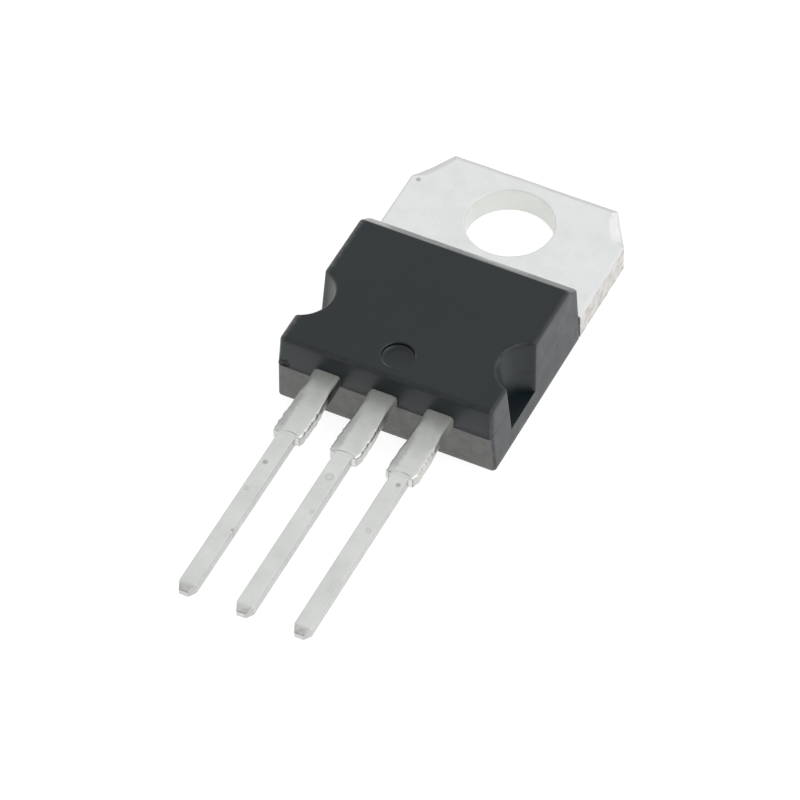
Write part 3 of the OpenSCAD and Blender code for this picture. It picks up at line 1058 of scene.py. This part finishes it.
bm = bmesh.new()
bmesh.ops.create_grid(bm, x_segments=8, y_segments=8, size=600.0)
floor = new_object("floor", bm)
floor_nodes = Nodes("floor")
floor_nodes.set(Base_Color=(0.42, 0.42, 0.42), Roughness=0.9)
# The floor is a lit white sheet, which keeps the shadows on it faint
floor_nodes.set(Emission_Color=(1.0, 1.0, 1.0), Emission_Strength=0.8)
dress(floor, floor_nodes.material)

# ---- light ----

SKY_STRENGTH = 0.95
# Shares of that strength in front of the part and at the horizon
SKY_FRONT = 0.56
SKY_HORIZON = 0.7
# What the softboxes face, in metres
AIM = (0.0, -0.011, 0.0)


def softbox(name, place, size, watts):
    data = bpy.data.lights.new(name, "AREA")
    data.shape = "RECTANGLE"
    data.size = data.size_y = size
    data.energy = watts
    obj = bpy.data.objects.new(name, data)
    obj.location = place
    obj.rotation_euler = (Vector(AIM) - Vector(place)).to_track_quat("-Z", "Y").to_euler()
    bpy.context.scene.collection.objects.link(obj)


def studio_sky():
    """A white tent that is bright behind the part and overhead, and dimmer in front of it."""
    world = bpy.data.worlds.new("studio")
    bpy.context.scene.world = world
    world.use_nodes = True
    nodes, links = world.node_tree.nodes, world.node_tree.links
    direction = nodes.new("ShaderNodeTexCoord").outputs["Generated"]
    split = nodes.new("ShaderNodeSeparateXYZ")
    links.new(direction, split.inputs[0])

    def fade(socket, low, high, start):
        remap = nodes.new("ShaderNodeMapRange")
        remap.interpolation_type = "SMOOTHSTEP"
        links.new(socket, remap.inputs["Value"])
        remap.inputs["From Min"].default_value = low
        remap.inputs["From Max"].default_value = high
        remap.inputs["To Min"].default_value = start
        remap.inputs["To Max"].default_value = 1.0
        return remap.outputs["Result"]

    def product(a):
        node = nodes.new("ShaderNodeMath")
        node.operation = "MULTIPLY"
        links.new(a, node.inputs[0])
        return node

    both = product(fade(split.outputs[1], -0.7, 0.35, SKY_FRONT))
    links.new(fade(split.outputs[2], 0.0, 0.6, SKY_HORIZON), both.inputs[1])
    strength = product(both.outputs[0])
    strength.inputs[1].default_value = SKY_STRENGTH
    background = nodes["Background"]
    background.inputs["Color"].default_value = (1.0, 1.0, 1.0, 1.0)
    links.new(strength.outputs[0], background.inputs["Strength"])


studio_sky()
softbox("right", (0.40, 0.02, 0.36), 0.5, 0.9)
softbox("back", (0.05, 0.42, 0.32), 0.22, 0.08)

bpy.context.scene.view_settings.view_transform = "Standard"

# ---- camera ----

CAMERA_AZIMUTH = 26.26
CAMERA_ELEVATION = 48.01
CAMERA_ROLL = -0.38
CAMERA_DISTANCE = 0.2284
CAMERA_LENS = 253.0
CAMERA_TARGET = Vector((0.541, -11.647, 2.0)) * MM


def make_camera():
    a, e = math.radians(CAMERA_AZIMUTH), math.radians(CAMERA_ELEVATION)
    back = Vector((math.sin(a) * math.cos(e), -math.cos(a) * math.cos(e), math.sin(e)))
    data = bpy.data.cameras.new("camera")
    data.sensor_fit = "HORIZONTAL"
    data.sensor_width = 36.0
    data.lens = CAMERA_LENS
    data.clip_start, data.clip_end = 0.01, 10.0
    obj = bpy.data.objects.new("camera", data)
    turn = (-back).to_track_quat("-Z", "Y").to_matrix().to_4x4()
    roll = Matrix.Rotation(math.radians(CAMERA_ROLL), 4, "Z")
    obj.matrix_world = Matrix.Translation(CAMERA_TARGET + back * CAMERA_DISTANCE) @ turn @ roll
    bpy.context.scene.collection.objects.link(obj)
    bpy.context.scene.camera = obj


make_camera()
